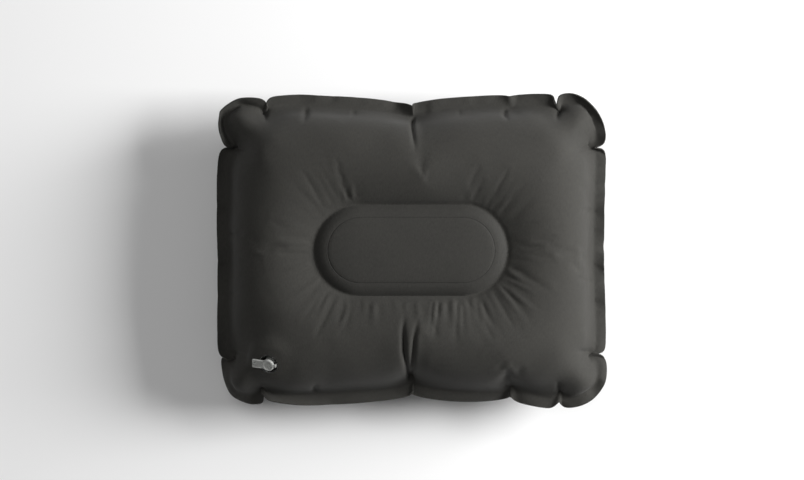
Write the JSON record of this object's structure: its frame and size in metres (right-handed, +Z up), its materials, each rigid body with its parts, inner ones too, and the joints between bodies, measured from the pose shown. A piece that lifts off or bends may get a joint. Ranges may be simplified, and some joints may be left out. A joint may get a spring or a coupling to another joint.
{
  "type": "inflatable camp pillow",
  "caption": "Inflated charcoal fabric camp pillow with a welded edge, a pinched-in oval waist and a soft push-in air valve in one corner of the front.",
  "frame": {"origin": "on the surface that the pillow lies on, under the middle of the pillow", "axes": "+Z up, out of the pillow's front face; +X along its length, away from the valve's end; +Y across its width, away from the valve's side"},
  "size_m": [0.38, 0.31, 0.105],
  "materials": {
    "coated_fabric": "matte",
    "baffle_film": "satin",
    "clear_soft_pvc": "satin"
  },
  "bodies": {
    "pillow": {"front_sheet": "coated_fabric", "back_sheet": "coated_fabric", "oval_baffle": "baffle_film", "valve_flange": "clear_soft_pvc", "valve_web": "clear_soft_pvc"},
    "stem": {"valve_stem": "clear_soft_pvc", "tether_strap": "clear_soft_pvc"},
    "stopper": {"stopper": "clear_soft_pvc"},
    "flap": {"check_flap": "clear_soft_pvc"}
  },
  "joints": [
    {"name": "valve_pop", "type": "slide", "parent": "pillow", "child": "stem", "axis": [-0.2706, -0.4283, 0.8622], "range_m": [0, 0.012], "deforming": ["valve_web"]},
    {"name": "stopper_hinge", "type": "hinge", "parent": "stem", "child": "stopper", "pos_m": [-0.13199, -0.11321, 0.09112], "axis": [0, 0.8956, 0.4449], "range_deg": [0, 115]},
    {"name": "flap_hinge", "type": "hinge", "parent": "stem", "child": "flap", "pos_m": [-0.14075, -0.1053, 0.07519], "axis": [0, 0.8956, 0.4449], "range_deg": [0, 75], "stiffness_Nm_per_rad": 0.0001, "springref_deg": -11.46}
  ]
}
